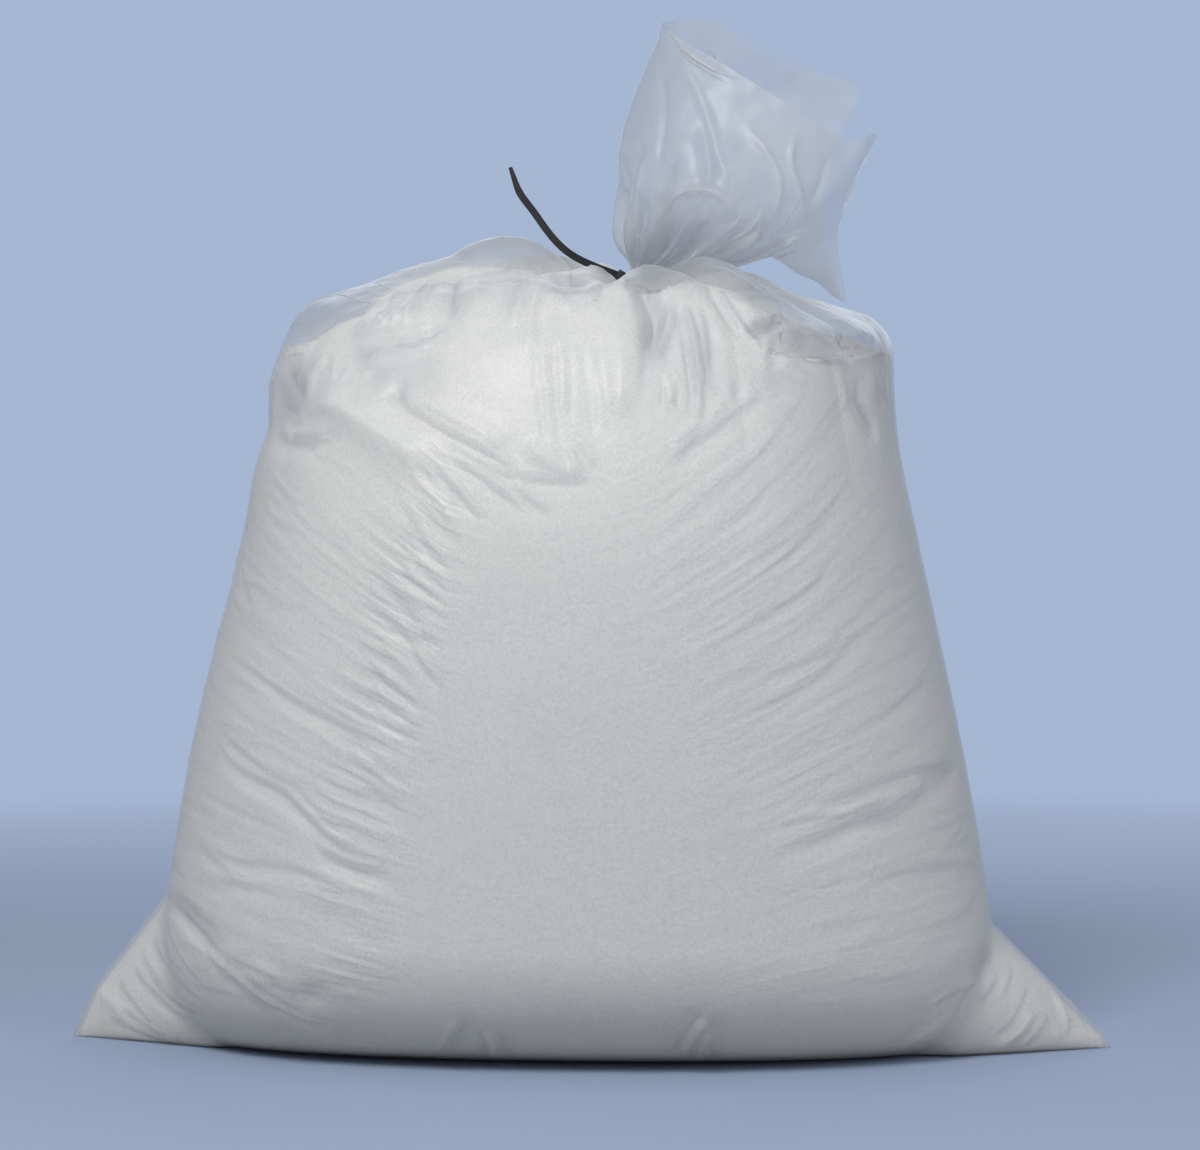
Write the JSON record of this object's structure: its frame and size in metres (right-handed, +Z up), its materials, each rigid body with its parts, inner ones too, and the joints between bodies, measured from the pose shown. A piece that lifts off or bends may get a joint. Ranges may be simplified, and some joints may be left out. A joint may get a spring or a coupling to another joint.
{
  "type": "bag of polystyrene beads",
  "caption": "Large clear polythene bag filled with white polystyrene beads, standing on its base, its neck gathered in a black cable tie below a loose plume of film.",
  "frame": {"origin": "on the floor, midway between the tips of the bag's two bottom corners and under the middle of its depth", "axes": "+X along the bottom seam towards the side that the neck leans to, -Y towards the front, +Z up"},
  "size_m": [1.082, 0.6366, 1.0653],
  "materials": {
    "clear_film": "clear thin polythene, softly shiny, a little hazy",
    "white_beads": "matt white expanded polystyrene beads about 3 mm across",
    "black_nylon": "black moulded nylon, satin"
  },
  "bodies": {
    "root": {"film_bag": "clear_film", "bead_fill": "white_beads", "cable_tie": "black_nylon"}
  },
  "joints": []
}
